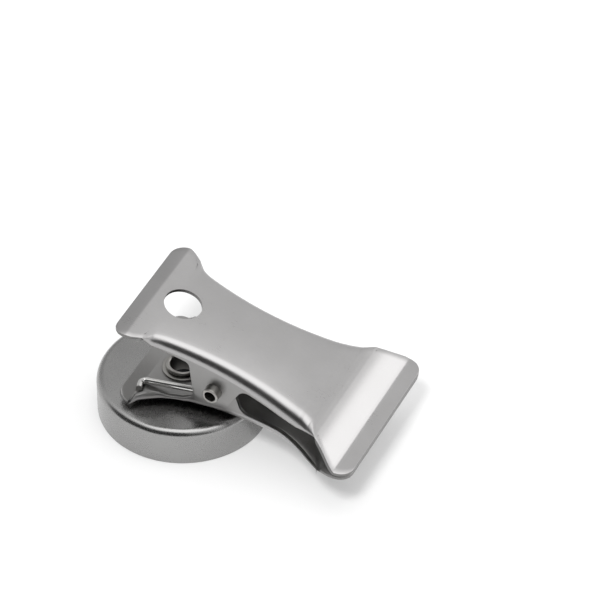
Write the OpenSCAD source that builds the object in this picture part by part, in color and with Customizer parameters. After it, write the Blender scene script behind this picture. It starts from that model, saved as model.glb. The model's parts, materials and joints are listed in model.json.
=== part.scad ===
// Magnetic clip: a sprung sheet-metal clip riveted to a round pot magnet.
// Origin at the centre of the magnetic face, +X towards the mouth, +Z up, hinge along Y.

/* [Magnet] */
// Outer diameter of the steel cup
cup_d = 32; // [28:0.5:38]
// Height of the cup over the magnetic face
cup_h = 7.6; // [7:0.1:9]
// Thickness of the cup's top
cup_top = 1.2; // [1:0.1:1.6]
// Thickness of the cup's side wall
cup_wall = 1.1; // [0.8:0.1:1.5]
// Radius of the cup's shoulder
cup_shoulder = 1.6; // [1.2:0.1:2]
// Height of the pressed seat on the cup that the lower jaw stands on
seat_h = 0.7; // [0.4:0.1:1]
// Diameter of that seat
seat_d = 11; // [9.5:0.5:13]
// Width of the resin ring between the magnet and the wall
resin_w = 0.8; // [0.4:0.1:1.5]
// Depth of the resin ring under the magnetic face
resin_recess = 0.3; // [0.1:0.05:0.6]
// Diameter of the hole in the ring magnet
magnet_bore_d = 11; // [10:0.5:14]

/* [Sheet metal] */
// Thickness of both jaw plates
sheet_t = 0.7; // [0.6:0.05:0.8]
// Outer radius of the bend between plate and side flange
flange_bend_r = 1.5; // [1.2:0.1:1.8]
// Height of the side flanges beside the ears
flange_h = 3.2; // [2.8:0.1:3.6]
// Height of the lower jaw's side flanges beside its ears
lower_flange_h = 2.5; // [2.3:0.1:3]
// Height of the side flanges at their ends
flange_end_h = 1.9; // [1.7:0.1:2.2]
// Gap between the nested ears
ear_gap = 0.2; // [0.15:0.05:0.4]

/* [Jaws] */
// Distance from the pin axis to the inner face of each plate
pin_to_plate = 6.1; // [5.9:0.1:6.7]
// Distance from the pin axis to the start of the upper jaw's curled handle end
pin_to_curl = 17.8; // [17:0.1:20]
// Length by which the lower jaw's handle is shorter
lower_handle_cut = 2; // [0:0.1:2.4]
// Radius of the curled handle end
curl_r = 4.5; // [3.5:0.5:6]
// Angle of the curled handle end
curl_angle = 36; // [28:1:38]
// Distance from the pin axis to the crease before the mouth
pin_to_crease = 19.8; // [19:0.1:21]
// Distance from the pin axis to the bend of the mouth's lip
pin_to_lip = 26.9; // [26:0.1:29]
// Rise of the plate between the crease and the lip
ramp_rise = 2.85; // [2.4:0.05:3.2]
// Length of the mouth's lip
lip_len = 3.2; // [3:0.1:4.6]
// Gap between the closed lips
lip_gap = 0.1; // [0.06:0.02:0.2]

/* [Widths] */
// Width of the upper jaw at its waist
waist_w = 18.2; // [17:0.1:19.5]
// Radius of the waist's sides
waist_r = 62; // [56:1:78]
// Width of the upper jaw's handle end
handle_w = 26; // [25.5:0.1:28]
// Width by which the lower jaw's handle end is narrower
lower_handle_less = 1.2; // [0:0.1:1.6]
// Radius of the handle corners
handle_corner_r = 2.5; // [1.5:0.1:3]
// Width of the mouth
mouth_w = 33; // [31:0.2:37]
// Radius of the mouth's corners
mouth_corner_r = 2.6; // [1:0.1:3]

/* [Hang hole] */
// Diameter of the hole in the upper handle
hang_hole_d = 7.1; // [5:0.1:8]
// Distance from the pin axis to the hang hole
pin_to_hang_hole = 12.5; // [12.1:0.1:12.9]

/* [Hinge] */
// Distance from the magnet's centre to the pin axis
hinge_x = 10.8; // [10:0.1:11.8]
// Diameter of the hollow pin
pin_d = 3.1; // [2.6:0.1:3.4]
// Diameter of the hole through the pin
pin_bore_d = 2.1; // [1.4:0.1:2.4]
// Length that the pin stands out of each upper ear
pin_proud = 1.7; // [1:0.1:3]
// Radial clearance of the pin in the upper ears
pin_running_gap = 0.05; // [0.02:0.01:0.1]
// Radial clearance of the pin in the lower ears
pin_seat_gap = 0.01; // [0.005:0.005:0.02]

/* [Spring] */
// Diameter of the spring wire
wire_d = 1.2; // [1:0.05:1.25]
// Radius of the coil at the middle of the wire
coil_r = 2.7; // [2.65:0.05:2.9]
// Number of full turns
coil_turns = 6; // [4:1:6]
// Length of each straight leg
leg_len = 16.4; // [14:0.1:17]
// Gap between a leg and what it bears on
leg_gap = 0.05; // [0.03:0.01:0.2]
// Gap between the coil and the lower ears
coil_side_gap = 0.15; // [0.1:0.05:0.3]

/* [Rivet] */
// Diameter of the hole through the hollow rivet
rivet_bore_d = 4.8; // [4:0.1:5]
// Wall of the hollow rivet
rivet_wall = 0.5; // [0.4:0.05:0.7]
// Radius of the rivet's rolled head
rivet_roll_r = 0.45; // [0.4:0.05:0.6]
// Diameter of the washer under the head
washer_d = 7.9; // [7.6:0.1:8.8]
// Thickness of the washer
washer_t = 0.45; // [0.3:0.05:0.6]
// Radial clearance of the rivet in its holes
rivet_gap = 0.05; // [0.02:0.01:0.1]

/* [Hidden] */

steel = [0.70, 0.69, 0.68];
cup_steel = [0.62, 0.61, 0.59];
wire_steel = [0.82, 0.82, 0.80];
ferrite = [0.16, 0.16, 0.17];
resin = [0.08, 0.08, 0.09];

round_fn = 96;
corner_steps = 6;
wire_sides = 6;
coil_steps = 8;
over = 1;

cup_r = cup_d / 2;
magnet_r = cup_r - cup_wall - resin_w;
magnet_bore_r = magnet_bore_d / 2;
magnet_top = cup_h - cup_top;

plate_bottom = cup_h + seat_h;
plate_top = plate_bottom + sheet_t;
hinge_z = plate_top + pin_to_plate;
pin_r = pin_d / 2;

// Both lips lie along a line through the pin axis when the clip is closed.
half_angle = atan((pin_to_plate - ramp_rise) / pin_to_lip);
closed_angle = 2 * half_angle;

upper_waist = waist_w / 2;
lower_waist = upper_waist - sheet_t - ear_gap;
ear_inner = lower_waist - sheet_t;
pin_half_len = upper_waist + pin_proud;

plate_outer = -pin_to_plate - sheet_t;
flange_end_edge = plate_outer + flange_end_h;

rivet_bore_r = rivet_bore_d / 2;
rivet_r = rivet_bore_r + rivet_wall;
rivet_hole_r = rivet_r + rivet_gap;
rivet_foot_r = rivet_r + 0.8;
rivet_foot_t = rivet_wall;
washer_top = plate_top + washer_t;

wire_r = wire_d / 2;
leg_y = ear_inner - coil_side_gap - wire_r;
leg_drop = pin_to_plate - wire_r - leg_gap;
leg_reach = norm([coil_r, leg_len]);
leg_slope = atan2(leg_len, coil_r) - acos(leg_drop / leg_reach);

function unit(v) = v / norm(v);

// Points of the arc of radius r that rounds the corner at b between a and c.
function corner_arc(a, b, c, r) =
    let (to_a = unit(a - b),
         to_c = unit(c - b),
         half = acos(to_a * to_c) / 2,
         centre = b + unit(to_a + to_c) * r / sin(half),
         from = b + to_a * r / tan(half) - centre,
         to = b + to_c * r / tan(half) - centre,
         first = atan2(from.y, from.x),
         turn = atan2(from.x * to.y - from.y * to.x, from * to))
    [for (i = [0:corner_steps])
        centre + r * [cos(first + turn * i / corner_steps), sin(first + turn * i / corner_steps)]];

// Each corner is [x, y, radius], and a radius of 0 leaves it sharp.
function rounded_outline(corners) =
    let (n = len(corners), at = [for (p = corners) [p.x, p.y]])
    [for (i = [0:n - 1])
        each corners[i].z == 0 ? [at[i]]
            : corner_arc(at[(i + n - 1) % n], at[i], at[(i + 1) % n], corners[i].z)];

// Side view of a jaw with the pin axis at the origin and the plate below it.
// The bent sheet is given by the corners of its inner face.
lip_slope = -half_angle;
lip_x = pin_to_lip;
lip_z = -pin_to_lip * tan(half_angle) - lip_gap / 2 / cos(half_angle);
curl_run = curl_r * tan(curl_angle / 2);
lip_end = [lip_x, lip_z] + lip_len * [cos(lip_slope), sin(lip_slope)];
function curl_corner(reach) = [-reach - curl_run, -pin_to_plate];
function handle_end(reach) =
    curl_corner(reach) + (curl_run + 0.3) * [-cos(curl_angle), sin(curl_angle)];
function inner_face(reach) =
    [handle_end(reach), curl_corner(reach), [pin_to_crease, -pin_to_plate], [lip_x, lip_z], lip_end];
crease_r = 5;
lip_bend_r = 1.4;
// Length by which the plan cuts both ends of the sheet square.
end_trim = 0.2;
// Inner radius of each corner, where a negative one bends the other way.
bends = [0, curl_r, crease_r, -lip_bend_r, 0];

function left_normal(a, b) = let (d = unit(b - a)) [d.y, -d.x];

function outer_corner(inner, i) =
    let (last = len(inner) - 1,
         before = left_normal(inner[max(i - 1, 0)], inner[max(i, 1)]),
         after = left_normal(inner[min(i, last - 1)], inner[min(i + 1, last)]))
    inner[i] + sheet_t * (before + after) / (1 + before * after);

function jaw_side(reach) =
    let (inner = inner_face(reach))
    rounded_outline(concat(
        [for (i = [0:len(inner) - 1])
            let (p = outer_corner(inner, i))
            [p.x, p.y, bends[i] == 0 ? 0 : bends[i] > 0 ? bends[i] + sheet_t : -bends[i]]],
        [for (i = [len(inner) - 1:-1:0])
            [inner[i].x, inner[i].y, bends[i] >= 0 ? bends[i] : -bends[i] + sheet_t]]));

function waist_at(waist, x) = waist + waist_r - sqrt(waist_r * waist_r - x * x);

// Corners of the far side of a plan, after their mirror images on the near side.
function both_sides(half) =
    concat([for (p = half) [p.x, -p.y, p.z]], [for (i = [len(half) - 1:-1:0]) half[i]]);

// Upright block with the plan of a jaw, as deep as the jaw.
module jaw_plan(waist, reach, handle) {
    crease_w = waist_at(waist, pin_to_crease);
    depth = 2 * pin_to_plate;
    near = handle_end(reach).x + end_trim;
    far = lip_end.x - end_trim;
    translate([0, 0, -depth]) {
        linear_extrude(depth)
            polygon(rounded_outline(both_sides([
                [near, handle / 2, handle_corner_r],
                [near + handle_corner_r + 0.3, handle / 2, 0.6],
                [near + 6.4, waist_at(waist, near + 6.4) - 0.3, 0],
                [near + 7.4, waist / 2, 0]])));
        linear_extrude(depth)
            polygon(rounded_outline(both_sides([
                [pin_to_crease - 4, waist / 2, 0],
                [pin_to_crease - 3, crease_w - 2.2, 0],
                [far - mouth_corner_r - 0.8, mouth_w / 2, 1.5],
                [far, mouth_w / 2, mouth_corner_r]])));
        difference() {
            translate([near + 5, -crease_w, 0])
                cube([pin_to_crease - near - 5, 2 * crease_w, depth]);
            for (side = [-1, 1])
                translate([0, side * (waist + waist_r), -over])
                    cylinder(h = depth + 2 * over, r = waist_r + flange_bend_r,
                             $fn = 4 * round_fn);
        }
    }
}

// Side view of the flange and its ear, beside the plate's own edge.
function flange_side(start, edge) = rounded_outline([
    [-start, plate_outer, 0],
    [pin_to_crease - 1.3, plate_outer, 0],
    [pin_to_crease - 1.6, flange_end_edge, 0.6],
    [12, edge, 3],
    [4.6, edge, 1.2],
    [3.4, 2.4, 1],
    [-3, 4.4, 1.2],
    [-5.2, edge - 0.2, 1.2],
    [-start + 5, edge - 0.7, 3],
    [-start + 0.6, flange_end_edge - 0.5, 0.5]]);

// Section through the flange and its bend, at a distance from the waist's centre.
module flange_section() {
    translate([waist_r, plate_outer + flange_bend_r])
        square([sheet_t, pin_to_plate + flange_h + over]);
    translate([waist_r + flange_bend_r - over / 10, plate_outer])
        square([over, sheet_t]);
    intersection() {
        translate([waist_r + flange_bend_r, plate_outer + flange_bend_r])
            difference() {
                circle(r = flange_bend_r, $fn = round_fn);
                circle(r = flange_bend_r - sheet_t, $fn = round_fn);
            }
        translate([waist_r, plate_outer])
            square(flange_bend_r);
    }
}

// A jaw with the pin axis at the origin, its plate below and its mouth towards +X.
module jaw(waist, reach, handle, flange, hole_r) {
    difference() {
        union() {
            intersection() {
                rotate([90, 0, 0])
                    linear_extrude(handle_w + mouth_w, center = true)
                        polygon(jaw_side(reach));
                jaw_plan(waist, reach, handle);
            }
            intersection() {
                for (side = [0, 1])
                    mirror([0, side, 0])
                        translate([0, waist + waist_r, 0])
                            rotate_extrude($fn = 4 * round_fn)
                                flange_section();
                rotate([90, 0, 0])
                    linear_extrude(2 * waist_at(waist, pin_to_crease) + over, center = true)
                        polygon(flange_side(reach - 3.5, plate_outer + flange));
            }
        }
        rotate([90, 0, 0])
            cylinder(h = mouth_w, r = hole_r, center = true, $fn = round_fn);
    }
}

module ring(inner, outer, h) {
    difference() {
        cylinder(h = h, r = outer, $fn = round_fn);
        translate([0, 0, -over])
            cylinder(h = h + 2 * over, r = inner, $fn = round_fn);
    }
}

// Half section of a round-shouldered block, from the axis outwards.
module shouldered(r, h, shoulder) {
    square([r - shoulder, h]);
    square([r, h - shoulder]);
    translate([r - shoulder, h - shoulder])
        circle(r = shoulder, $fn = round_fn);
}

module magnet_cup() {
    color(cup_steel)
        rotate_extrude($fn = 2 * round_fn)
            difference() {
                union() {
                    shouldered(cup_r, cup_h, cup_shoulder);
                    square([seat_d / 2, plate_bottom]);
                }
                translate([0, -over])
                    shouldered(cup_r - cup_wall, magnet_top + over, cup_shoulder - cup_wall);
                square([rivet_hole_r, plate_bottom + over]);
                square([rivet_foot_r + rivet_gap, magnet_top + rivet_foot_t]);
            }
}

module ring_magnet() {
    color(ferrite)
        ring(magnet_bore_r, magnet_r, magnet_top);
}

module resin_ring() {
    color(resin)
        translate([0, 0, resin_recess])
            ring(magnet_r, magnet_r + resin_w, magnet_top - resin_recess - cup_shoulder + cup_wall);
}

// The rolled head lies on the washer, and the flared foot is sunk in the cup's top from below.
module hollow_rivet() {
    head_z = washer_top + rivet_roll_r;
    color(steel)
        rotate_extrude($fn = round_fn) {
            translate([rivet_bore_r, magnet_top])
                square([rivet_wall, head_z - magnet_top]);
            translate([rivet_bore_r, magnet_top])
                square([rivet_foot_r - rivet_bore_r, rivet_foot_t]);
            translate([rivet_bore_r + rivet_roll_r, head_z])
                circle(r = rivet_roll_r, $fn = round_fn / 2);
        }
}

module rivet_washer() {
    color(steel)
        translate([0, 0, plate_top])
            ring(rivet_hole_r, washer_d / 2, washer_t);
}

module at_hinge() {
    translate([hinge_x, 0, hinge_z])
        children();
}

module lower_jaw() {
    color(steel)
        difference() {
            at_hinge()
                jaw(lower_waist, pin_to_curl - lower_handle_cut, handle_w - lower_handle_less,
                    lower_flange_h, pin_r + pin_seat_gap);
            translate([0, 0, plate_bottom - over])
                cylinder(h = sheet_t + 2 * over, r = rivet_hole_r, $fn = round_fn);
        }
}

module upper_jaw() {
    color(steel)
        at_hinge()
            rotate([0, closed_angle, 0])
                mirror([0, 0, 1])
                    difference() {
                        jaw(upper_waist, pin_to_curl, handle_w, flange_h, pin_r + pin_running_gap);
                        translate([-pin_to_hang_hole, 0, plate_outer - over])
                            cylinder(h = sheet_t + 2 * over, r = hang_hole_d / 2, $fn = round_fn);
                    }
}

module hinge_pin() {
    color(steel)
        at_hinge()
            rotate([90, 0, 0])
                difference() {
                    cylinder(h = 2 * pin_half_len, r = pin_r, center = true, $fn = round_fn);
                    cylinder(h = 2 * pin_half_len + 2 * over, r = pin_bore_d / 2, center = true,
                             $fn = round_fn);
                }
}

// Middle line of the spring wire: a leg on the lower plate, the coil, a leg on the upper plate.
function polar(angle, r, y) = [r * cos(angle), y, r * sin(angle)];
coil_start = leg_slope - 90;
coil_end = 360 * coil_turns + 90 - leg_slope - closed_angle;
coil_rings = round((coil_end - coil_start) * coil_steps / 360);
leg_rings = 4;
lower_leg = [for (i = [0:leg_rings - 1])
    polar(coil_start, coil_r, -leg_y)
        + (1 - i / leg_rings) * leg_len * [-cos(leg_slope), 0, -sin(leg_slope)]];
coil = [for (i = [0:coil_rings])
    polar(coil_start + (coil_end - coil_start) * i / coil_rings, coil_r,
          leg_y * (2 * i / coil_rings - 1))];
upper_slope = leg_slope + closed_angle;
upper_leg = [for (i = [1:leg_rings])
    polar(coil_end, coil_r, leg_y)
        + i / leg_rings * leg_len * [-cos(upper_slope), 0, sin(upper_slope)]];
wire_path = concat(lower_leg, coil, upper_leg);

function wire_ring(i) =
    let (last = len(wire_path) - 1,
         along = unit(wire_path[min(i + 1, last)] - wire_path[max(i - 1, 0)]),
         out = unit(cross(along, [0, 1, 0])),
         side = cross(along, out))
    [for (k = [0:wire_sides - 1])
        wire_path[i] + wire_r * (cos(360 * k / wire_sides) * out
                                 + sin(360 * k / wire_sides) * side)];

module torsion_spring() {
    rings = len(wire_path);
    points = [for (i = [0:rings - 1]) each wire_ring(i)];
    sides = [for (i = [0:rings - 2], k = [0:wire_sides - 1])
        let (a = i * wire_sides + k,
             b = i * wire_sides + (k + 1) % wire_sides)
        each [[a, b, b + wire_sides], [a, b + wire_sides, a + wire_sides]]];
    caps = [for (k = [1:wire_sides - 2])
        let (top = (rings - 1) * wire_sides)
        each [[0, k + 1, k], [top, top + k, top + k + 1]]];
    color(wire_steel)
        at_hinge()
            polyhedron(points = points, faces = concat(sides, caps));
}

// Least gap of the wire to itself, between points more than half a turn apart.
wire_gap = min([for (i = [0:len(wire_path) - 1], j = [i + coil_steps / 2:1:len(wire_path) - 1])
    norm(wire_path[i] - wire_path[j])]) - wire_d;
echo(wire_gap = wire_gap);

magnet_cup();
ring_magnet();
resin_ring();
hollow_rivet();
rivet_washer();
lower_jaw();
upper_jaw();
hinge_pin();
torsion_spring();
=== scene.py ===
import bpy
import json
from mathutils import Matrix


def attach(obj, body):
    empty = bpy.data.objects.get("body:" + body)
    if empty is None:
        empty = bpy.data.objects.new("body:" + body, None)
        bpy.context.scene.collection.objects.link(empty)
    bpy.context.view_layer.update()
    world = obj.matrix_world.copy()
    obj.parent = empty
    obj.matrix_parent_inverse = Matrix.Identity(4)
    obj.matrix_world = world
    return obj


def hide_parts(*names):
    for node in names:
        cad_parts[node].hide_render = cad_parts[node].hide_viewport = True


bl_info = {
    "name": "Magnetic clip",
    "version": (1, 0, 0),
    "blender": (4, 5, 0),
    "location": "View3D > Sidebar > Magnetic clip",
    "description": "Builds a sprung sheet-metal clip riveted on a round magnet",
    "category": "Add Mesh",
}

import json
import math

import bmesh
import bpy
from bpy.props import FloatProperty, FloatVectorProperty, IntProperty, PointerProperty
from bpy.types import Operator, Panel, PropertyGroup
from mathutils import Vector

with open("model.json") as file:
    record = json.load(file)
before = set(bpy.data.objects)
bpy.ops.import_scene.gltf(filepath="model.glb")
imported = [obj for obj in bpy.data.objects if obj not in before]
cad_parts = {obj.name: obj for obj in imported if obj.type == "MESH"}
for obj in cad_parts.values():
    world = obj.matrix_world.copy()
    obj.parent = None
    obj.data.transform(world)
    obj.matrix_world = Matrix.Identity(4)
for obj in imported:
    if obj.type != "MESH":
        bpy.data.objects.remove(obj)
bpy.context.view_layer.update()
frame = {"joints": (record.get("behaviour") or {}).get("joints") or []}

MM = 0.001
PIN_AXIS = Vector(frame["joints"][0]["pos_m"])

# Fits and sizes that no setting changes
WELD = 1e-7
SHEET_WELD = 2e-6
HANG_HOLE_X = -12.5 * MM
LIP_DROP = 2.85 * MM
LIP_MEET = 26.9 * MM
PIN_ROOM = 0.05 * MM
LEG_ROOM = 0.05 * MM
COIL_ROOM = 0.15 * MM
CUP_WALL = 1.1 * MM
CUP_ROOF = 1.2 * MM
FOOT_RECESS = 1.35 * MM
MAGNET_RADIUS = 14.1 * MM
MAGNET_BORE = 5.5 * MM
MAGNET_TOP = 6.4 * MM
RESIN_TOP = 5.9 * MM
RIVET_WALL = 0.5 * MM
RIVET_HOLE = 0.55 * MM
RIVET_FOOT = 1.3 * MM
FOOT_TOP = 6.9 * MM


def length(name, description, millimetres):
    return FloatProperty(
        name=name, description=description, default=millimetres * MM,
        min=0, unit="LENGTH", precision=5)


def colour(name, description, red, green, blue):
    return FloatVectorProperty(
        name=name, description=description, default=(red, green, blue),
        min=0, max=1, size=3, subtype="COLOR")


class ClipSizes(PropertyGroup):
    """Sizes of the clip and its magnet."""

    sheet: length("Sheet", "Thickness of the jaw plates", 0.7)
    pin_to_plate: length("Pin to plate", "From the pin axis to a plate's inner face", 6.1)
    reach: length("Handle reach", "From the pin axis to the curl of the upper handle", 17.8)
    lower_cut: length("Lower handle cut", "How much shorter the lower handle is", 2)
    crease: length("Crease", "From the pin axis to the crease before the mouth", 20.2)
    lip: length("Lip", "From the pin axis to the bend of the mouth's lip", 26.99)
    ramp_rise: length("Ramp rise", "Height that the ramp takes towards the other jaw", 2.78)
    lip_length: length("Lip length", "Length of the flat lip of the mouth", 2.81)
    handle_width: length("Handle width", "Width of the upper handle end", 26)
    lower_less: length("Lower handle less", "How much narrower the lower handle is", 1.2)
    mouth_width: length("Mouth width", "Width of the mouth", 32.96)
    waist_width: length("Waist width", "Width of the upper jaw at its waist", 18.2)
    waist_radius: length("Waist radius", "Radius of the waist's sides", 62)
    ear_step: length("Ear step", "How far the lower ears stand inside the upper ones", 0.9)
    bend: length("Bend", "Outer radius of the bend between plate and flange", 2.1)
    crown: length("Crown", "How much lower a plate's sides are than its middle", 0.28)
    flange: length("Flange", "Height of the upper jaw's flanges", 2.8)
    lower_flange: length("Lower flange", "Height of the lower jaw's flanges", 2.5)
    edge_round: length("Edge round", "Rounding of the sheared edges", 0.11)
    hang_hole: length("Hang hole", "Radius of the hole in the upper handle", 3.55)
    cup: length("Cup radius", "Outer radius of the steel cup", 16)
    cup_height: length("Cup height", "Height of the cup", 7.6)
    cup_shoulder: length("Cup shoulder", "Radius of the cup's shoulder", 1.4)
    rivet_bore: length("Rivet bore", "Radius of the hole through the rivet", 2.4)
    rivet_roll: length("Rivet roll", "Radius of the rivet's rolled head", 0.45)
    washer: length("Washer radius", "Radius of the washer under the rivet's head", 3.95)
    washer_height: length("Washer height", "Thickness of that washer", 0.45)
    seat: length("Seat", "Height of the seat that the lower jaw stands on", 0.7)
    pin: length("Pin radius", "Outer radius of the hollow pin", 1.55)
    pin_bore: length("Pin bore", "Radius of the hole through the pin", 1.05)
    pin_half: length("Pin half length", "Half the length of the pin", 10.8)
    wire: length("Wire radius", "Radius of the spring wire", 0.6)
    coil: length("Coil radius", "Radius of the coil at the middle of the wire", 2.7)
    leg: length("Leg", "Length of the spring's legs", 16.4)
    turns: IntProperty(
        name="Turns", description="Full turns of the spring", default=6, min=3)


class ClipColours(PropertyGroup):
    """Colours of the finishes."""

    sheet: colour("Sheet", "Satin plating of the jaws", 0.40, 0.394, 0.393)
    # The flange colour is painted shade: darker than the sheet so that the flanges, ears
    # and inner faces look shaded.
    flange: colour("Flange", "Plating of the flanges and inner faces", 0.30, 0.296, 0.292)
    # The sheared edge colour is the bare edge's duller steel, darkened further as painted
    # shade on the edges and hole walls.
    sheared: colour("Sheared edge", "Bare edge of the jaw plates", 0.21, 0.207, 0.204)
    cup: colour("Cup", "Plating of the cup", 0.33, 0.328, 0.325)
    rivet: colour("Rivet", "Plating of the rivet, washer and pin", 0.36, 0.352, 0.335)
    wire: colour("Wire", "Plating of the spring wire", 0.70, 0.695, 0.68)
    magnet: colour("Magnet", "Sintered ferrite", 0.045, 0.045, 0.05)
    resin: colour("Resin", "Cast resin round the magnet", 0.025, 0.025, 0.03)
    floor: colour("Floor", "Paper that the clip stands on", 0.50, 0.50, 0.50)


# Selecting and shaping

def start_piece():
    """Leaves edit mode and deselects everything."""
    if bpy.context.object and bpy.context.object.mode != "OBJECT":
        bpy.ops.object.mode_set(mode="OBJECT")
    bpy.ops.object.select_all(action="DESELECT")


def select_points(shape, wanted):
    """Selects the points of the mesh in edit mode that wanted(point) picks."""
    mesh = bmesh.from_edit_mesh(shape.data)
    for face in mesh.faces:
        face.select = False
    for edge in mesh.edges:
        edge.select = False
    for point in mesh.verts:
        point.select = bool(wanted(point))
    mesh.select_flush_mode()
    bmesh.update_edit_mesh(shape.data, loop_triangles=False, destructive=False)


def apply_modifier(shape, kind, **settings):
    bpy.context.view_layer.objects.active = shape
    modifier = shape.modifiers.new(kind.title(), kind)
    for key, value in settings.items():
        setattr(modifier, key, value)
    bpy.ops.object.modifier_apply(modifier=modifier.name)


def place(shape, turn=0.0, at=(0, 0, 0), scale=(1, 1, 1)):
    """Turns a shape about Y, moves it and puts its place into its mesh."""
    start_piece()
    shape.select_set(True)
    bpy.context.view_layer.objects.active = shape
    shape.scale = scale
    bpy.ops.object.transform_apply(location=False, rotation=False, scale=True)
    shape.rotation_euler = (0, turn, 0)
    shape.location = at
    bpy.ops.object.transform_apply(location=True, rotation=True, scale=True)


def face_outwards(shape):
    start_piece()
    shape.select_set(True)
    bpy.context.view_layer.objects.active = shape
    bpy.ops.object.mode_set(mode="EDIT")
    bpy.ops.mesh.select_all(action="SELECT")
    bpy.ops.mesh.remove_doubles(threshold=WELD)
    bpy.ops.mesh.normals_make_consistent(inside=False)
    bpy.ops.object.mode_set(mode="OBJECT")


def smooth(shape, degrees=35):
    start_piece()
    shape.select_set(True)
    bpy.context.view_layer.objects.active = shape
    bpy.ops.object.shade_smooth_by_angle(angle=math.radians(degrees))


def finish_piece(shape, name, body, slot, *nodes):
    shape.name = name
    shape.data.name = name
    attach(shape, body)
    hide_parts(*nodes)


# Outlines

def corner_arc(before, corner, after, radius, steps=8):
    """Points of the arc that rounds a corner."""
    to_before = (before - corner).normalized()
    to_after = (after - corner).normalized()
    half = to_before.angle(to_after) / 2
    centre = corner + (to_before + to_after).normalized() * radius / math.sin(half)
    start = corner + to_before * radius / math.tan(half) - centre
    end = corner + to_after * radius / math.tan(half) - centre
    first = math.atan2(start.y, start.x)
    turn = math.atan2(start.x * end.y - start.y * end.x, start.dot(end))
    return [
        centre + radius * Vector((math.cos(first + turn * i / steps),
                                  math.sin(first + turn * i / steps)))
        for i in range(steps + 1)]


def rounded(corners, closed=False, steps=8):
    """Points of a line through corners (x, y, radius), each corner rounded."""
    points = [Vector(corner[:2]) for corner in corners]
    line = []
    for i, (x, y, radius) in enumerate(corners):
        at_end = not closed and i in (0, len(corners) - 1)
        if at_end or not radius:
            line.append(points[i])
        else:
            line += corner_arc(
                points[i - 1], points[i], points[(i + 1) % len(points)], radius, steps)
    return line


def height_at(line, x):
    """Height of a line of points at x."""
    if x <= line[0].x:
        return line[0].y
    for a, b in zip(line, line[1:]):
        if x <= b.x:
            share = (x - a.x) / (b.x - a.x) if b.x > a.x else 1
            return a.y + share * (b.y - a.y)
    return line[-1].y


def soft_max(a, b, blend):
    """The larger of two values, rounded where they cross."""
    gap = max(blend - abs(a - b), 0) / blend
    return max(a, b) + gap * gap * blend / 4


def soft_min(a, b, blend):
    return -soft_max(-a, -b, blend)


def ease(x, start, end):
    share = min(max((x - start) / (end - start), 0), 1)
    return share * share * (3 - 2 * share)


# Pressed jaws

PLATE_ROWS = 10
BEND_ROWS = 6
FLANGE_ROWS = 6
BEND_END = PLATE_ROWS + BEND_ROWS
CROWN_STEPS = 8
# The flanges and all inner faces take the darker finish of painted shade.
INNER_SHADE_SLOTS = 2
FLANGE_SHADE_SLOT = 2


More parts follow.
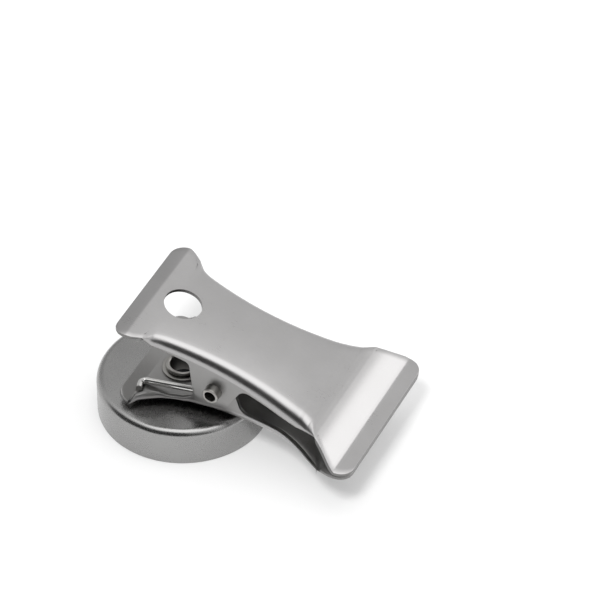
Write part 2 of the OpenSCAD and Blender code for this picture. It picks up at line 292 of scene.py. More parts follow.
class JawShape:
    """Widths and heights of a jaw along its length, with the pin axis at the origin.
    The plate lies above the pin and its outer face points up. The corners of top are
    (x, height, radius), those of edge (x, depth below the plate's outer face, radius)."""

    HANDLE_SLOPE = 0.62
    HANDLE_START = 0.9 * MM
    MOUTH_START = 26.6 * MM
    SIDE_BLEND = 0.5 * MM
    WAIST_BLEND = 0.9 * MM
    BEND_GROWTH = 0.010
    BEND_RUN_IN = 1.8 * MM
    BEND_RUN_OUT = 2.4 * MM
    LEAST_STEP = 0.09 * MM
    LARGEST_STEP = 0.8 * MM
    END_STEP = 0.28 * MM
    END_STEPS = 8

    def __init__(self, sizes, upper):
        self.waist = sizes.waist_width / 2 - (0 if upper else sizes.ear_step)
        self.arc = sizes.waist_radius
        outer = sizes.pin_to_plate + sizes.sheet
        reach = sizes.reach - (0 if upper else sizes.lower_cut)
        curl = -reach + 0.1 * MM
        self.near = -reach - 2.68 * MM
        self.far = sizes.lip + sizes.lip_length
        lip_z = outer - sizes.ramp_rise
        self.top = rounded([
            (self.near, outer - 0.92 * MM, 0),
            (curl, outer, 2 * MM),
            (sizes.crease, outer, 18 * MM),
            (sizes.lip, lip_z, 1.1 * MM),
            (self.far, lip_z + 0.121 * sizes.lip_length, 0)])
        self.handle = (sizes.handle_width - (0 if upper else sizes.lower_less)) / 2
        self.handle_round = 2.5 * MM
        self.mouth = sizes.mouth_width / 2
        self.mouth_round = 2.9 * MM
        self.bend = sizes.bend
        self.crown = sizes.crown
        self.flare = (20.3 if upper else 16.5) * MM
        self.flange_near = (-15.1 if upper else -15.9) * MM
        self.flange_far = (21.1 if upper else 23.4) * MM
        tall = sizes.flange if upper else sizes.lower_flange
        if upper:
            first = [(self.flange_near, 0, 0), (-13.2 * MM, 1.7 * MM, 1.5 * MM),
                     (-10 * MM, tall - 0.4 * MM, 4 * MM), (-5.9 * MM, tall, 1.3 * MM)]
            last = [(13 * MM, tall - 0.1 * MM, 4 * MM), (17.0 * MM, 2.35 * MM, 4 * MM),
                    (19.0 * MM, 1.4 * MM, 3 * MM), (self.flange_far, 0, 0)]
        else:
            first = [(self.flange_near, 0, 0), (-14.4 * MM, 2.0 * MM, 0.8 * MM),
                     (-12.5 * MM, 2.65 * MM, 2 * MM), (-9.4 * MM, 1.35 * MM, 3 * MM),
                     (-6.8 * MM, 1.5 * MM, 2 * MM), (-4.9 * MM, 2.6 * MM, 0.8 * MM)]
            last = [(13 * MM, tall - 0.15 * MM, 8 * MM), (18 * MM, 1.55 * MM, 8 * MM),
                    (self.flange_far, 0, 0)]
        ear = outer - (0 if upper else 0.5 * MM)
        self.edge = rounded(first + [
            (-2.95 * MM, ear + 4.6 * MM, 0.9 * MM),
            (0.8 * MM, ear + 3.2 * MM, 3 * MM),
            (3.2 * MM, ear + 1.75 * MM, 0.8 * MM),
            (5.0 * MM, tall, 2.0 * MM)] + last, steps=6)

    def arc_width(self, x):
        return self.waist + self.arc - math.sqrt(self.arc ** 2 - x ** 2)

    def half_width(self, x):
        shoulder = self.near + self.handle_round
        if x < 0:
            side = soft_min(
                self.handle - self.HANDLE_SLOPE * (x - shoulder - self.HANDLE_START),
                self.handle, self.SIDE_BLEND)
        else:
            base = self.arc_width(self.flare)
            slope = (self.mouth - base) / (self.MOUTH_START - self.flare)
            side = soft_min(base + slope * (x - self.flare), self.mouth, self.SIDE_BLEND)
        width = soft_max(self.arc_width(x), side, self.WAIST_BLEND)
        if x < shoulder:
            off = shoulder - x
            width = min(width, self.handle - self.handle_round
                        + math.sqrt(max(self.handle_round ** 2 - off ** 2, 0)))
        corner = self.far - self.mouth_round
        if x > corner:
            off = x - corner
            width = self.mouth - self.mouth_round + math.sqrt(
                max(self.mouth_round ** 2 - off ** 2, 0))
        return width

    def fold_run(self, x):
        """How far the bend between plate and flange reaches in from the edge, and its
        radius."""
        radius = self.bend * (1 + self.BEND_GROWTH * x / MM)
        start = ease(x, self.flange_near, self.flange_near + self.BEND_RUN_IN)
        end = 1 - ease(x, self.flange_far - self.BEND_RUN_OUT, self.flange_far)
        return radius * min(start, end), radius

    def columns(self):
        """Places along the jaw where the sheet has a row of points across."""
        marks = {self.near, self.far, self.flange_near, self.flange_far}
        for end, side, radius in ((self.near, 1, self.handle_round),
                                  (self.far, -1, self.mouth_round)):
            for i in range(self.END_STEPS + 1):
                marks.add(end + side * radius * (1 - math.cos(math.pi / 16 * i)))
        marks.update(point.x for point in self.edge)
        marks.update(point.x for point in self.top)
        for i in range(self.END_STEPS):
            marks.add(self.flange_near + i * self.END_STEP)
            marks.add(self.flange_far - i * self.END_STEP)
        ordered = sorted(marks)
        kept = [ordered[0]]
        must = (self.flange_near, self.flange_far, self.far)
        for x in ordered[1:]:
            if x - kept[-1] > self.LEAST_STEP:
                kept.append(x)
            elif x in must:
                kept[-1] = x
        filled = [kept[0]]
        for x in kept[1:]:
            pieces = math.ceil((x - filled[-1]) / self.LARGEST_STEP)
            start = filled[-1]
            filled += [start + (x - start) * (k + 1) / pieces for k in range(pieces)]
        return filled


def layers(sheet):
    """The two number layers of the sheet in edit mode: column and row of each point."""
    mesh = bmesh.from_edit_mesh(sheet.data)
    return mesh.verts.layers.int["column"], mesh.verts.layers.int["row"]


def flat_grid(last):
    """A flat grid with numbered columns along X and rows along Y, left in edit mode."""
    bpy.ops.mesh.primitive_grid_add(
        x_subdivisions=last, y_subdivisions=PLATE_ROWS, size=1, location=(0.5, 0.5, 0))
    sheet = bpy.context.object
    bpy.ops.object.transform_apply(location=True)
    # The flange finish is painted shade; the sheared edge finish is partly painted shade.
    for finish in (sheet_finish, bare_edge_and_shade_finish, flange_shade_finish,
                   bare_edge_and_shade_finish, flange_shade_finish):
        sheet.data.materials.append(finish())
    bpy.ops.object.mode_set(mode="EDIT")
    bpy.ops.mesh.select_mode(type="VERT")
    mesh = bmesh.from_edit_mesh(sheet.data)
    column = mesh.verts.layers.int.new("column")
    row = mesh.verts.layers.int.new("row")
    for point in mesh.verts:
        point[column] = round(point.co.x * last)
        point[row] = round(point.co.y * PLATE_ROWS)
    bmesh.update_edit_mesh(sheet.data)
    return sheet


def spread_plate(sheet, jaw, columns):
    """Moves each column to its place, height and width. Gives each column's fold."""
    folds = []
    for i, x in enumerate(columns):
        run, radius = jaw.fold_run(x)
        fold = jaw.half_width(x) - run
        z = height_at(jaw.top, x)
        folds.append((x, fold, z, run, radius))
        column, row = layers(sheet)
        select_points(sheet, lambda point: point[column] == i)
        bpy.ops.transform.translate(value=(x - i / (len(columns) - 1), 0, z))
        bpy.ops.transform.resize(value=(1, fold, 1), center_override=(x, 0, z))
    return folds


def extrude_flange(sheet, jaw, first, end):
    """Draws the plate's edge out along a quarter circle and on down, row by row."""
    column, row = layers(sheet)
    select_points(sheet, lambda p: p[row] == PLATE_ROWS and first <= p[column] <= end)
    steps = []
    for k in range(BEND_ROWS):
        a, b = (math.pi / 2 * (k + j) / BEND_ROWS for j in (0, 1))
        steps.append((jaw.bend * (math.sin(b) - math.sin(a)),
                      jaw.bend * (math.cos(b) - math.cos(a))))
    steps += [(0, -jaw.bend / FLANGE_ROWS)] * FLANGE_ROWS
    for k, (out, down) in enumerate(steps):
        bpy.ops.mesh.extrude_region_move(
            TRANSFORM_OT_translate={"value": (0, out, down)})
        mesh = bmesh.from_edit_mesh(sheet.data)
        row = mesh.verts.layers.int["row"]
        for point in mesh.verts:
            if point.select:
                point[row] = PLATE_ROWS + 1 + k


def shape_flange(sheet, jaw, first, folds):
    """Gives the bend its size and the flange its depth at each column."""
    for i, (x, fold, z, run, radius) in enumerate(folds, first):
        deep = height_at(jaw.edge, x)
        drop = min(radius, 0.97 * deep)
        column, row = layers(sheet)
        select_points(sheet, lambda p: p[column] == i and p[row] > PLATE_ROWS)
        bpy.ops.transform.resize(
            value=(1, run / jaw.bend, drop / jaw.bend), center_override=(x, fold, z))
        if drop:
            column, row = layers(sheet)
            select_points(sheet, lambda p: p[column] == i and p[row] > BEND_END)
            bpy.ops.transform.resize(
                value=(1, 1, (deep - drop) / drop), center_override=(x, fold, z - drop))
    # Gives the flanges the darker finish of painted shade.
    column, row = layers(sheet)
    select_points(sheet, lambda p: p[row] >= BEND_END)
    sheet.active_material_index = FLANGE_SHADE_SLOT
    bpy.ops.object.material_slot_assign()


def crown_plate(sheet, jaw, columns):
    """Lowers the plate's sides, and the flanges with them, between handle and mouth."""
    shares = [round(CROWN_STEPS * min(ease(x, jaw.near + 1.5 * MM, -13 * MM),
                                      1 - ease(x, 13 * MM, 20 * MM))) for x in columns]
    for share in range(1, CROWN_STEPS + 1):
        for k in range(1, PLATE_ROWS + 1):
            column, row = layers(sheet)
            select_points(sheet, lambda p: shares[p[column]] == share and (
                p[row] == k or k == PLATE_ROWS and p[row] > k))
            bpy.ops.transform.translate(
                value=(0, 0, -jaw.crown * share / CROWN_STEPS * (k / PLATE_ROWS) ** 2))


def press_half(jaw):
    """Shapes one half of a jaw's outer face from a flat grid."""
    columns = jaw.columns()
    sheet = flat_grid(len(columns) - 1)
    folds = spread_plate(sheet, jaw, columns)
    first = columns.index(jaw.flange_near)
    end = columns.index(jaw.flange_far)
    extrude_flange(sheet, jaw, first, end)
    shape_flange(sheet, jaw, first, folds[first:end + 1])
    crown_plate(sheet, jaw, columns)
    bpy.ops.mesh.select_all(action="SELECT")
    bpy.ops.mesh.remove_doubles(threshold=SHEET_WELD)
    bpy.ops.mesh.normals_make_consistent(inside=False)
    mesh = bmesh.from_edit_mesh(sheet.data)
    if sum(face.normal.z for face in mesh.faces) < 0:
        bpy.ops.mesh.flip_normals()
    bpy.ops.object.mode_set(mode="OBJECT")
    return sheet


def cut_round(shape, radius, at, depth, axis="Z"):
    """Cuts a round hole through a shape."""
    start_piece()
    turn = (math.pi / 2, 0, 0) if axis == "Y" else (0, 0, 0)
    bpy.ops.mesh.primitive_cylinder_add(
        vertices=72, radius=radius, depth=depth, location=at, rotation=turn)
    cutter = bpy.context.object
    bpy.ops.object.transform_apply(location=True, rotation=True)
    # The hole's wall takes the dark edge finish, partly painted shade.
    cutter.data.materials.append(bare_edge_and_shade_finish())
    apply_modifier(shape, "BOOLEAN", operation="DIFFERENCE", object=cutter,
                   solver="EXACT", material_mode="TRANSFER")
    bpy.data.objects.remove(cutter)


def press_jaw(sizes, upper, hole_x, hole_radius):
    """A whole jaw: both halves, the sheet's thickness, rounded edges and holes."""
    start_piece()
    sheet = press_half(JawShape(sizes, upper))
    sheet.select_set(True)
    apply_modifier(
        sheet, "MIRROR", use_axis=(False, True, False), merge_threshold=1e-6)
    # The inner faces take the darker finish of painted shade.
    apply_modifier(
        sheet, "SOLIDIFY", thickness=sizes.sheet, offset=-1, use_quality_normals=True,
        material_offset=INNER_SHADE_SLOTS, material_offset_rim=1)
    apply_modifier(
        sheet, "BEVEL", width=sizes.edge_round, segments=2, limit_method="ANGLE",
        angle_limit=math.radians(55), use_clamp_overlap=False)
    apply_modifier(sheet, "TRIANGULATE", quad_method="FIXED")
    middle = sizes.pin_to_plate + sizes.sheet / 2
    cut_round(sheet, hole_radius, (hole_x, 0, middle), 3 * MM)
    cut_round(sheet, sizes.pin + PIN_ROOM, (0, 0, 0), 40 * MM, axis="Y")
    return sheet


def closed_angle(sizes):
    """Angle between the two plates while the lips meet."""
    return 2 * math.atan((sizes.pin_to_plate - LIP_DROP) / LIP_MEET)


# Turned pieces

def turned(outline, steps=144):
    """A ring turned about the Z axis from a closed outline of (radius, height)."""
    start_piece()
    bpy.ops.mesh.primitive_circle_add(
        vertices=len(outline), radius=1 * MM, fill_type="NOTHING")
    shape = bpy.context.object
    bpy.ops.object.mode_set(mode="EDIT")
    bpy.ops.mesh.select_mode(type="VERT")
    for i, point in enumerate(outline):
        mesh = bmesh.from_edit_mesh(shape.data)
        mesh.verts.ensure_lookup_table()
        start = mesh.verts[i].co.copy()
        select_points(shape, lambda vertex: vertex.index == i)
        bpy.ops.transform.translate(value=Vector((point.x, 0, point.y)) - start)
    bpy.ops.mesh.select_all(action="SELECT")
    bpy.ops.mesh.spin(steps=steps, angle=2 * math.pi, axis=(0, 0, 1), center=(0, 0, 0))
    bpy.ops.object.mode_set(mode="OBJECT")
    face_outwards(shape)
    return shape


# Finishes

def node(tree, kind, **settings):
    made = tree.nodes.new(kind)
    for key, value in settings.items():
        setattr(made, key, value)
    return made


def reckon(tree, operation, *parts):
    """A math node that works on sockets and numbers. Gives its result."""
    made = node(tree, "ShaderNodeMath", operation=operation)
    for socket, part in zip(made.inputs, parts):
        if isinstance(part, bpy.types.NodeSocket):
            tree.links.new(part, socket)
        else:
            socket.default_value = part
    return made.outputs[0]


def noise(tree, where, scale, detail, **extra):
    """A noise texture's value at a place."""
    made = node(tree, "ShaderNodeTexNoise")
    for name, value in (("Scale", scale), ("Detail", detail), *extra.items()):
        made.inputs[name].default_value = value
    tree.links.new(where, made.inputs["Vector"])
    return made.outputs[0]


def bumped(tree, height, strength, distance):
    """The normal of a surface roughened by height."""
    bump = node(tree, "ShaderNodeBump")
    bump.inputs["Strength"].default_value = strength
    bump.inputs["Distance"].default_value = distance
    tree.links.new(height, bump.inputs["Height"])
    return bump.outputs[0]


def plating_group():
    """Colour, roughness and normal of satin plating: grain, faint smudges, scratches."""
    if "satin_plating" in bpy.data.node_groups:
        return bpy.data.node_groups["satin_plating"]
    tree = bpy.data.node_groups.new("satin_plating", "ShaderNodeTree")
    sockets = tree.interface.new_socket
    sockets("Colour", in_out="INPUT", socket_type="NodeSocketColor")
    for name in ("Grain", "Grain length", "Smudge", "Roughness"):
        sockets(name, in_out="INPUT", socket_type="NodeSocketFloat")
    sockets("Colour", in_out="OUTPUT", socket_type="NodeSocketColor")
    sockets("Roughness", in_out="OUTPUT", socket_type="NodeSocketFloat")
    sockets("Normal", in_out="OUTPUT", socket_type="NodeSocketVector")
    link = tree.links.new
    given = node(tree, "NodeGroupInput").outputs
    result = node(tree, "NodeGroupOutput").inputs
    where = node(tree, "ShaderNodeTexCoord").outputs["Object"]

    stretch = node(tree, "ShaderNodeCombineXYZ")
    stretch.inputs["Y"].default_value = 1
    stretch.inputs["Z"].default_value = 1
    link(given["Grain length"], stretch.inputs["X"])
    along = node(tree, "ShaderNodeVectorMath", operation="MULTIPLY")
    link(where, along.inputs[0])
    link(stretch.outputs[0], along.inputs[1])
    grain = noise(tree, along.outputs[0], 5200, 3, Roughness=0.65)
    smudge = noise(tree, where, 170, 4)
    thin = node(tree, "ShaderNodeVectorMath", operation="MULTIPLY")
    thin.inputs[1].default_value = (0.10, 1.4, 1.0)
    link(where, thin.inputs[0])
    line = node(tree, "ShaderNodeMapRange")
    line.inputs["From Min"].default_value = 0.70
    line.inputs["From Max"].default_value = 0.78
    link(noise(tree, thin.outputs[0], 900, 2, Distortion=0.4), line.inputs["Value"])

    def centred(source, amount):
        return reckon(tree, "MULTIPLY", reckon(tree, "SUBTRACT", source, 0.5), amount)

    both = reckon(tree, "ADD", centred(grain, given["Grain"]),
                  centred(smudge, given["Smudge"]))
    shade = node(tree, "ShaderNodeVectorMath", operation="SCALE")
    link(given["Colour"], shade.inputs[0])
    link(reckon(tree, "ADD", both, 1), shade.inputs["Scale"])
    link(shade.outputs[0], result["Colour"])
    rough = reckon(tree, "ADD", given["Roughness"], both)
    link(reckon(tree, "MULTIPLY_ADD", line.outputs[0], 0.012, rough),
         result["Roughness"])
    link(bumped(tree, grain, 0.06, 0.04 * MM), result["Normal"])
    return tree


def new_material(name):
    """An empty material with its shader and output."""
    material = bpy.data.materials.new(name)
    material.use_nodes = True
    tree = material.node_tree
    tree.nodes.clear()
    shader = node(tree, "ShaderNodeBsdfPrincipled")
    output = node(tree, "ShaderNodeOutputMaterial")
    tree.links.new(shader.outputs[0], output.inputs["Surface"])
    return material, tree, shader


def plated(name, colour, roughness, grain=0.16, grain_length=0.03, smudge=0.10):
    """A plated steel finish."""
    if name in bpy.data.materials:
        return bpy.data.materials[name]
    material, tree, shader = new_material(name)
    plating = node(tree, "ShaderNodeGroup")
    plating.node_tree = plating_group()
    plating.inputs["Colour"].default_value = (*colour, 1)
    plating.inputs["Grain"].default_value = grain
    plating.inputs["Grain length"].default_value = grain_length
    plating.inputs["Smudge"].default_value = smudge
    plating.inputs["Roughness"].default_value = roughness
    tree.links.new(plating.outputs["Colour"], shader.inputs["Base Color"])
    tree.links.new(plating.outputs["Roughness"], shader.inputs["Roughness"])
    tree.links.new(plating.outputs["Normal"], shader.inputs["Normal"])
    shader.inputs["Metallic"].default_value = 1
    return material


def sheet_finish():
    return plated("satin_sheet", bpy.context.scene.clip_colours.sheet, 0.30, grain=0.09)


# Painted shade: a darker copy of the plating for the flanges, ears and inner faces.
def flange_shade_finish():
    return plated("flange_painted_shade", bpy.context.scene.clip_colours.flange, 0.36)


# Partly the bare edge's duller steel, partly painted shade on the edges and hole walls.
def bare_edge_and_shade_finish():
    return plated("bare_edge_and_painted_shade", bpy.context.scene.clip_colours.sheared, 0.42, grain=0.3)


def dull(name, colour, roughness, pore_scale, pore_depth):
    """A dull mineral or resin finish with fine pores."""
    material, tree, shader = new_material(name)
    where = node(tree, "ShaderNodeTexCoord").outputs["Object"]
    pores = noise(tree, where, pore_scale, 5)
    shades = node(tree, "ShaderNodeValToRGB")
    for stop, position, share in zip(shades.color_ramp.elements, (0.3, 0.7), (0.6, 1.5)):
        stop.position = position
        stop.color = (*[share * part for part in colour], 1)
    tree.links.new(pores, shades.inputs[0])
    tree.links.new(shades.outputs[0], shader.inputs["Base Color"])
    tree.links.new(bumped(tree, pores, pore_depth, 0.1 * MM), shader.inputs["Normal"])
    shader.inputs["Roughness"].default_value = roughness
    return material


PAPER_GLOW = 0.25


def paper_finish(colour):
    """White paper that shows as white and still takes the clip's shadow."""
    material, tree, shader = new_material("white_paper")
    shader.inputs["Base Color"].default_value = (*colour, 1)
    shader.inputs["Roughness"].default_value = 0.8
    shader.inputs["Specular IOR Level"].default_value = 0.1
    ray = node(tree, "ShaderNodeLightPath").outputs
    seen = reckon(tree, "MAXIMUM", ray["Is Camera Ray"], ray["Is Glossy Ray"])
    seen = reckon(tree, "MAXIMUM", seen, ray["Is Transmission Ray"])
    shader.inputs["Emission Color"].default_value = (1, 1, 1, 1)
    tree.links.new(reckon(tree, "MULTIPLY", seen, PAPER_GLOW),
                   shader.inputs["Emission Strength"])
    return material


# Stage

ROOM_LEVEL = 0.92
# Bright and dark patches of the room, as the plating mirrors them: the direction, the
# angles in degrees at which a patch ends and at which it is full, and its brightness
ROOM_PATCHES = (
    ((0.08, -0.05, 1.0), 40, 14, 2.3),
    ((0.45, -0.88, 0.02), 52, 22, 0.10),
    ((-0.66, -0.58, 0.48), 32, 22, 0.05),
    ((0.06, -0.78, 0.62), 27, 17, 0.03),
    ((-0.02, -0.95, 0.30), 30, 20, 0.04),
    ((-0.65, 0.60, 0.40), 34, 8, 0.52),
    ((0.78, 0.55, 0.31), 29, 20, 2.7))
LAMP_AT = Vector((0.11, -0.47, 0.73))
LAMP_AIM = Vector((0.01, 0, 0.01))
CAMERA_AT = Vector((0.2650, -0.5028, 0.5344))
CAMERA_AIM = Vector((0.00803, 0.03419, 0))


def turn_towards(at, aim):
    return (aim - at).to_track_quat("-Z", "Y").to_euler()


def paint_room():
    """The world: an even level with brighter and darker patches in it."""
    world = bpy.data.worlds.new("room")
    bpy.context.scene.world = world
    world.use_nodes = True
    tree = world.node_tree
    tree.nodes.clear()
    link = tree.links.new
    where = node(tree, "ShaderNodeTexCoord").outputs["Generated"]
    even = node(tree, "ShaderNodeValue")
    even.outputs[0].default_value = ROOM_LEVEL
    level = even.outputs[0]
    for toward, edge, core, strength in ROOM_PATCHES:
        near = node(tree, "ShaderNodeVectorMath", operation="DOT_PRODUCT")
        near.inputs[1].default_value = Vector(toward).normalized()
        link(where, near.inputs[0])
        share = node(tree, "ShaderNodeMapRange", interpolation_type="SMOOTHSTEP")
        share.inputs["From Min"].default_value = math.cos(math.radians(edge))
        share.inputs["From Max"].default_value = math.cos(math.radians(core))
        link(near.outputs["Value"], share.inputs["Value"])
        mix = node(tree, "ShaderNodeMix")
        link(share.outputs[0], mix.inputs["Factor"])
        link(level, mix.inputs["A"])
        mix.inputs["B"].default_value = strength
        level = mix.outputs[0]
    background = node(tree, "ShaderNodeBackground")
    background.inputs["Color"].default_value = (1, 1, 1, 1)
    link(level, background.inputs["Strength"])
    output = node(tree, "ShaderNodeOutputWorld")
    link(background.outputs[0], output.inputs["Surface"])


def add_lamp():
    """The lamp that throws the shadow. The plating doesn't mirror it."""
    bpy.ops.object.light_add(
        type="AREA", location=LAMP_AT, rotation=turn_towards(LAMP_AT, LAMP_AIM))
    lamp = bpy.context.object
    lamp.name = "key"
    lamp.data.size = 0.15
    lamp.data.energy = 6.0
    lamp.visible_glossy = False


def add_camera():
    """The camera at the photo's place."""
    bpy.ops.object.camera_add(
        location=CAMERA_AT, rotation=turn_towards(CAMERA_AT, CAMERA_AIM))
    camera = bpy.context.object
    camera.data.sensor_width = 36
    camera.data.lens = 250.7
    camera.data.clip_start = 0.05
    bpy.context.scene.camera = camera


# Operators

class CLIP_OT_stage(Operator):
    """Adds the floor, the lights and the camera"""

    bl_idname = "clip.stage"
    bl_label = "Stage"

    def execute(self, context):
        start_piece()
        bpy.ops.mesh.primitive_plane_add(size=8, location=(0, 0, 0))
        floor = context.object
        floor.name = "floor"
        floor.data.materials.append(paper_finish(context.scene.clip_colours.floor))
        paint_room()
        add_lamp()
        add_camera()
        context.scene.view_settings.view_transform = "Standard"
        return {"FINISHED"}


class CLIP_OT_upper_jaw(Operator):
    """Adds the upper jaw"""

    bl_idname = "clip.upper_jaw"
    bl_label = "Upper jaw"

    def execute(self, context):
        sizes = context.scene.clip_sizes
        jaw = press_jaw(sizes, True, HANG_HOLE_X, sizes.hang_hole)
        place(jaw, turn=closed_angle(sizes), at=PIN_AXIS)
        face_outwards(jaw)
        smooth(jaw)
        finish_piece(jaw, "upper_jaw_sheet", "upper", "sheet_steel", "upper_jaw")
        return {"FINISHED"}


class CLIP_OT_lower_jaw(Operator):
    """Adds the lower jaw"""

    bl_idname = "clip.lower_jaw"
    bl_label = "Lower jaw"

    def execute(self, context):
        sizes = context.scene.clip_sizes
        jaw = press_jaw(sizes, False, -PIN_AXIS.x, sizes.rivet_bore + RIVET_HOLE)
        place(jaw, at=PIN_AXIS, scale=(1, 1, -1))
        face_outwards(jaw)
        smooth(jaw)
        finish_piece(jaw, "lower_jaw_sheet", "base", "sheet_steel", "lower_jaw")
        return {"FINISHED"}


class CLIP_OT_cup(Operator):
    """Adds the steel cup round the magnet"""

    bl_idname = "clip.cup"
    bl_label = "Cup"

    def execute(self, context):
        sizes = context.scene.clip_sizes
        outer, high = sizes.cup, sizes.cup_height
        hole = sizes.rivet_bore + RIVET_HOLE
        foot = sizes.rivet_bore + FOOT_RECESS
        inside = high - CUP_ROOF
        cup = turned(rounded([
            (outer, 0, 0.25 * MM),
            (outer, high, sizes.cup_shoulder),
            (6.1 * MM, high, 0.5 * MM),
            (5.3 * MM, high + sizes.seat, 0.4 * MM),
            (hole, high + sizes.seat, 0.1 * MM),
            (hole, inside + 0.5 * MM, 0),
            (foot, inside + 0.5 * MM, 0),
            (foot, inside, 0.1 * MM),
            (outer - CUP_WALL, inside, 0.6 * MM),
            (outer - CUP_WALL, 0, 0.25 * MM)], closed=True))
        cup.data.materials.append(
            plated("cup_plating", context.scene.clip_colours.cup, 0.27,
                   grain=0.12, grain_length=1.0, smudge=0.12))
        smooth(cup)
        finish_piece(cup, "cup_shell", "base", "cup_steel", "magnet_cup")
        return {"FINISHED"}


class CLIP_OT_magnet(Operator):
    """Adds the ring magnet and the resin round it"""

    bl_idname = "clip.magnet"
    bl_label = "Magnet"

    def execute(self, context):
        sizes, colours = context.scene.clip_sizes, context.scene.clip_colours
        magnet = turned(rounded([
            (MAGNET_RADIUS, 0, 0.35 * MM), (MAGNET_RADIUS, MAGNET_TOP, 0.3 * MM),
            (MAGNET_BORE, MAGNET_TOP, 0.3 * MM), (MAGNET_BORE, 0, 0.35 * MM)],
            closed=True, steps=4))
        magnet.data.materials.append(dull("ferrite", colours.magnet, 0.55, 1500, 0.3))
        smooth(magnet)
        finish_piece(magnet, "magnet_ring", "base", "ferrite", "ring_magnet")
        resin = turned(rounded([
            (sizes.cup - CUP_WALL, 0.15 * MM, 0), (sizes.cup - CUP_WALL, RESIN_TOP, 0),
            (MAGNET_RADIUS, RESIN_TOP, 0),
            (MAGNET_RADIUS, 0.45 * MM, 0), (14.25 * MM, 0.55 * MM, 0),
            (14.55 * MM, 0.6 * MM, 0), (14.8 * MM, 0.45 * MM, 0)], closed=True, steps=4))
        resin.data.materials.append(dull("cast_resin", colours.resin, 0.35, 600, 0.15))
        smooth(resin)
        finish_piece(resin, "resin_bead", "base", "resin", "resin_ring")
        return {"FINISHED"}


class CLIP_OT_rivet(Operator):
    """Adds the hollow rivet and its washer"""

    bl_idname = "clip.rivet"
    bl_label = "Rivet"

    def execute(self, context):
        sizes = context.scene.clip_sizes
        finish = plated("rivet_plating", context.scene.clip_colours.rivet, 0.30,
                        grain=0.08, grain_length=1.0)
        bore, roll = sizes.rivet_bore, sizes.rivet_roll
        plate = PIN_AXIS.z - sizes.pin_to_plate
        seat = plate + sizes.washer_height
        centre = Vector((bore + roll, seat + roll))
        head = [centre + roll * Vector((math.cos(a), math.sin(a)))
                for a in (math.radians(180 - 270 / 16 * i) for i in range(17))]
        shank, foot = bore + RIVET_WALL, bore + RIVET_FOOT
        low = rounded([
            (shank, seat, 0), (shank, FOOT_TOP, 0),
            (foot, FOOT_TOP, 0.1 * MM), (foot, MAGNET_TOP, 0.15 * MM),
            (bore, MAGNET_TOP, 0)], steps=4)
        rivet = turned(head + low[1:], steps=96)
        rivet.data.materials.append(finish)
        smooth(rivet)
        finish_piece(rivet, "rivet_eyelet", "base", "rivet_steel", "hollow_rivet")
        hole = bore + RIVET_HOLE
        washer = turned(rounded([
            (hole, plate, 0), (sizes.washer, plate, 0.1 * MM),
            (sizes.washer, seat, 0.18 * MM), (hole, seat, 0)], closed=True, steps=4),
            steps=96)
        washer.data.materials.append(finish)
        smooth(washer)
        finish_piece(washer, "rivet_washer_ring", "base", "rivet_steel", "rivet_washer")
        return {"FINISHED"}


class CLIP_OT_pin(Operator):
    """Adds the hollow hinge pin"""

    bl_idname = "clip.pin"
    bl_label = "Pin"

    def execute(self, context):
        sizes = context.scene.clip_sizes
        outer, bore, half = sizes.pin, sizes.pin_bore, sizes.pin_half
        pin = turned(rounded([
            (outer, -half, 0.22 * MM), (outer, half, 0.22 * MM),
            (bore, half, 0.12 * MM), (bore, -half, 0.12 * MM)], closed=True, steps=4),
            steps=72)
        start_piece()
        pin.select_set(True)
        context.view_layer.objects.active = pin
        pin.rotation_euler = (math.pi / 2, 0, 0)
        pin.location = PIN_AXIS
        bpy.ops.object.transform_apply(location=True, rotation=True)
        pin.data.materials.append(
            plated("rivet_plating", context.scene.clip_colours.rivet, 0.30))
        smooth(pin)
        finish_piece(pin, "pin_tube", "base", "rivet_steel", "hinge_pin")
        return {"FINISHED"}


POINTS_A_TURN = 28
# The upper leg turns with its jaw. It starts inside the end of the coil, with a wire
# slightly narrower than the coil's, so that the two surfaces don't coincide.
JOINT_POINTS = 5
NARROWER = 0.985


def draw_wire(path, radius, name, body):
    """A round wire along a path of points, measured from the middle of the pin."""
    start_piece()
    path = [PIN_AXIS + point for point in path]
    bpy.ops.mesh.primitive_plane_add(size=1 * MM, location=(0, 0, 0))
    bpy.ops.object.mode_set(mode="EDIT")
    bpy.ops.mesh.select_mode(type="VERT")
    bpy.ops.mesh.merge(type="CENTER")
    bpy.ops.mesh.select_all(action="SELECT")
    bpy.ops.transform.translate(value=path[0])
    for a, b in zip(path, path[1:]):
        bpy.ops.mesh.extrude_region_move(TRANSFORM_OT_translate={"value": b - a})
    bpy.ops.object.mode_set(mode="OBJECT")
    bpy.ops.object.convert(target="CURVE")
    wire = bpy.context.object
    wire.data.bevel_depth = radius
    wire.data.bevel_resolution = 4
    wire.data.use_fill_caps = True
    bpy.ops.object.convert(target="MESH")
    wire = bpy.context.object
    face_outwards(wire)
    wire.data.materials.append(
        plated("wire_plating", bpy.context.scene.clip_colours.wire, 0.16,
               grain=0.06, grain_length=1.0))
    smooth(wire, 50)
    finish_piece(wire, name, body, "spring_steel", "torsion_spring")


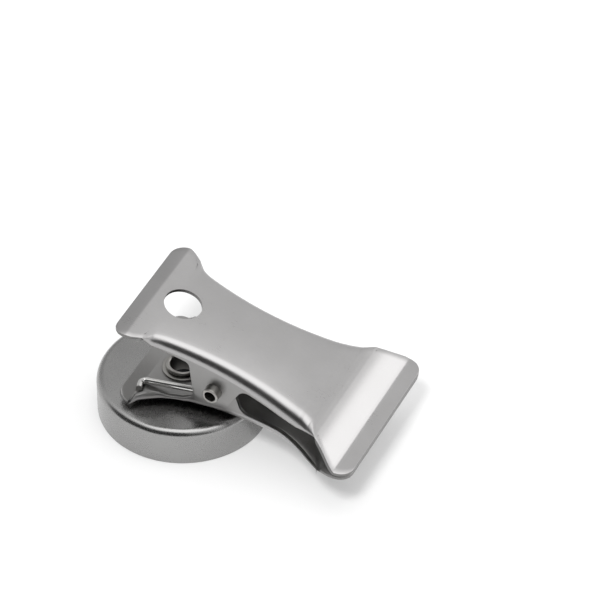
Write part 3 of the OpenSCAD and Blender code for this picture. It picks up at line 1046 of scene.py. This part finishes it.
class CLIP_OT_spring(Operator):
    """Adds the torsion spring: the coil with its lower leg, and the upper leg"""

    bl_idname = "clip.spring"
    bl_label = "Spring"

    def execute(self, context):
        sizes = context.scene.clip_sizes
        coil, leg = sizes.coil, sizes.leg
        inside = sizes.waist_width / 2 - sizes.ear_step - sizes.sheet
        side = inside - COIL_ROOM - sizes.wire
        drop = sizes.pin_to_plate - sizes.wire - LEG_ROOM
        slope = math.atan2(leg, coil) - math.acos(drop / math.hypot(coil, leg))
        upper = slope + closed_angle(sizes)
        start = slope - math.pi / 2
        end = 2 * math.pi * sizes.turns + math.pi / 2 - upper

        def on_coil(angle, y):
            return Vector((coil * math.cos(angle), y, coil * math.sin(angle)))

        along = Vector((-math.cos(slope), 0, -math.sin(slope)))
        across = Vector((0, 1, 0))
        hook, turn = 0.9 * MM, math.radians(110)
        straight = leg - hook
        tip = on_coil(start, -side) + straight * along
        hooked = [tip + hook * (math.sin(a) * along + (math.cos(a) - 1) * across)
                  for a in (turn * (1 - i / 8) for i in range(9))]
        tail = hooked[0] + 1.2 * MM * (math.cos(turn) * along - math.sin(turn) * across)
        lower_leg = [tip - straight * i / 6 * along for i in range(1, 6)]
        steps = round((end - start) / (2 * math.pi) * POINTS_A_TURN)
        coiled = [on_coil(start + (end - start) * i / steps, side * (2 * i / steps - 1))
                  for i in range(steps + 1)]
        draw_wire([tail] + hooked + lower_leg + coiled, sizes.wire, "spring_wire", "base")

        outwards = Vector((-math.cos(upper), 0, math.sin(upper)))
        upper_leg = [coiled[-1] + leg * (i / 6) * outwards for i in range(1, 7)]
        draw_wire(coiled[-JOINT_POINTS:] + upper_leg, NARROWER * sizes.wire,
                  "spring_upper_leg", "upper")
        return {"FINISHED"}


class CLIP_PT_panel(Panel):
    """Buttons and settings of the clip"""

    bl_label = "Magnetic clip"
    bl_idname = "CLIP_PT_panel"
    bl_space_type = "VIEW_3D"
    bl_region_type = "UI"
    bl_category = "Magnetic clip"

    def draw(self, context):
        for name in STEPS:
            self.layout.operator(f"clip.{name}")
        for group in (context.scene.clip_sizes, context.scene.clip_colours):
            box = self.layout.box()
            for name in group.__annotations__:
                box.prop(group, name)


STEPS = ("stage", "cup", "magnet", "rivet", "lower_jaw", "spring", "pin", "upper_jaw")

CLASSES = (
    ClipSizes, ClipColours, CLIP_OT_stage, CLIP_OT_upper_jaw, CLIP_OT_lower_jaw,
    CLIP_OT_cup, CLIP_OT_magnet, CLIP_OT_rivet, CLIP_OT_pin, CLIP_OT_spring,
    CLIP_PT_panel)


def register():
    for made in CLASSES:
        bpy.utils.register_class(made)
    bpy.types.Scene.clip_sizes = PointerProperty(type=ClipSizes)
    bpy.types.Scene.clip_colours = PointerProperty(type=ClipColours)


def unregister():
    del bpy.types.Scene.clip_colours
    del bpy.types.Scene.clip_sizes
    for made in reversed(CLASSES):
        bpy.utils.unregister_class(made)


def main():
    register()
    for name in STEPS:
        getattr(bpy.ops.clip, name)()


if __name__ == "__main__":
    main()
